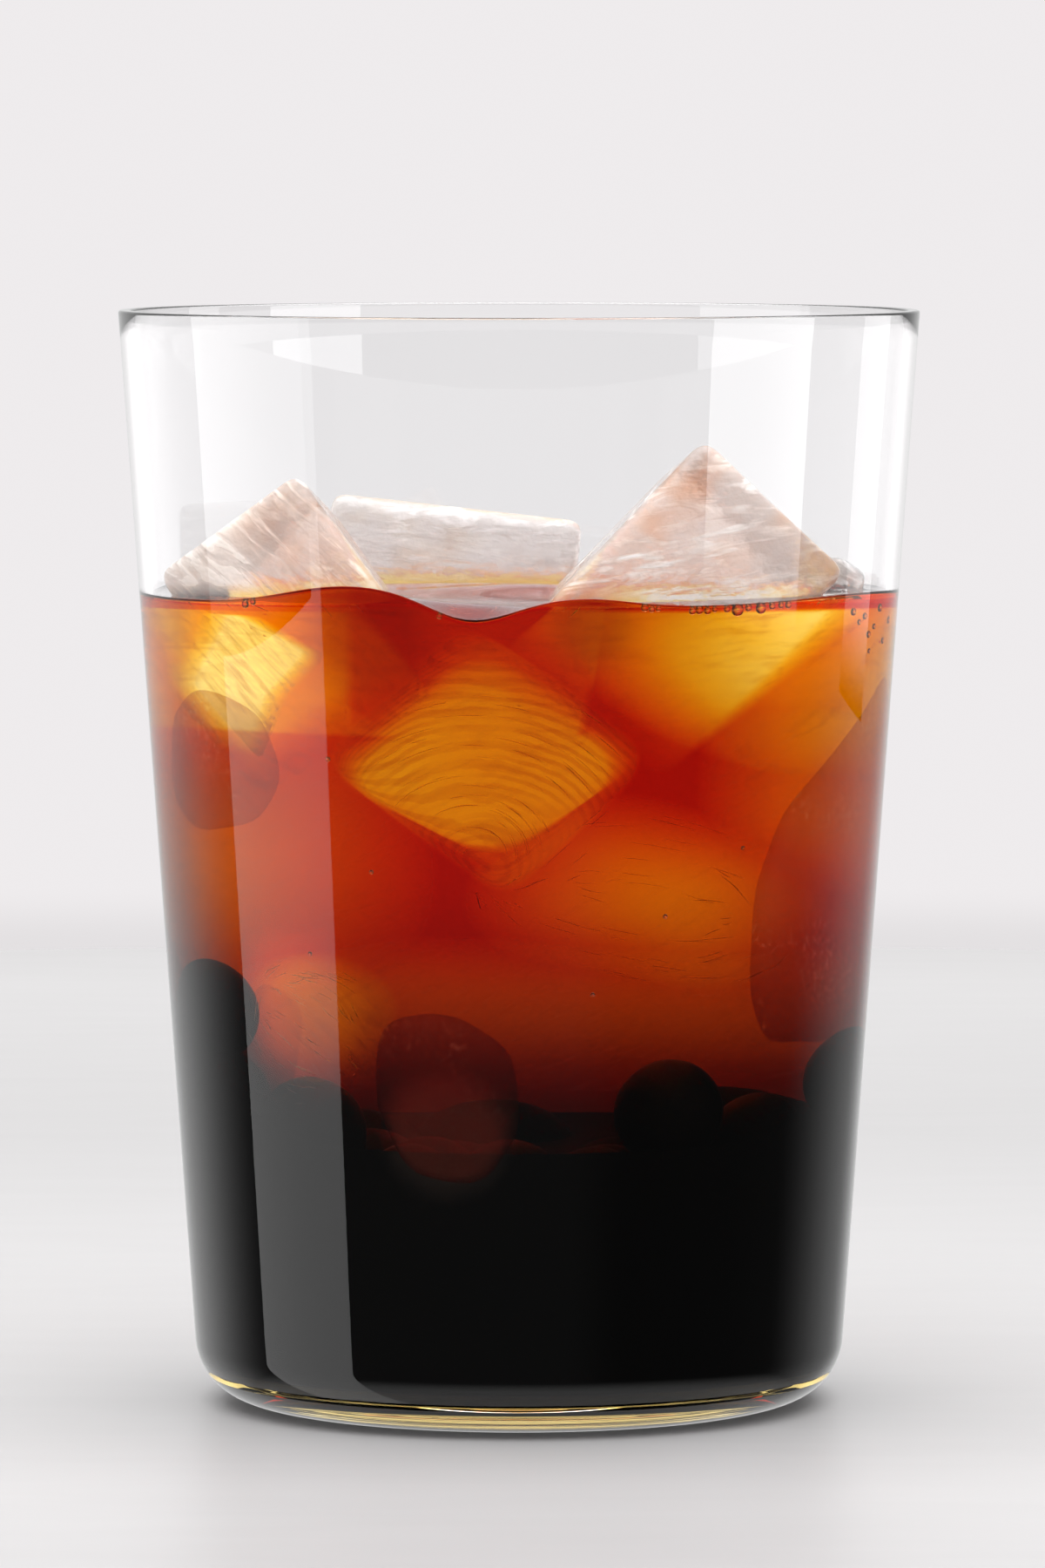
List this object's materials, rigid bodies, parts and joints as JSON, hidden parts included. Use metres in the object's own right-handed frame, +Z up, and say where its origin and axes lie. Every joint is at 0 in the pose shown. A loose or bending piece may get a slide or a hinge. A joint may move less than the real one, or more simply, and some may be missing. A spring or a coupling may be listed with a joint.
{
  "type": "iced tea with tapioca pearls in a tumbler",
  "caption": "Straight tapered clear tumbler, three quarters full of iced black tea over a dark layer of tapioca pearls, with ice standing out of the surface.",
  "frame": {"origin": "centre of the tumbler's foot, on the surface it stands on", "axes": "+Z up along the tumbler's axis; -Y towards the viewer, +X to the viewer's right"},
  "size_m": [0.088, 0.088, 0.12],
  "materials": {
    "clear_glass": "clear, polished",
    "black_tea": "clear amber liquid, darker with depth",
    "dark_pearl": "near-black, wet gloss",
    "ice": "frosted, wet"
  },
  "bodies": {
    "root": {"glass": "clear_glass", "tea": "black_tea", "pearls": "dark_pearl", "ice_left": "ice", "ice_right": "ice", "ice_back": "ice", "ice_far_right": "ice"}
  },
  "joints": []
}
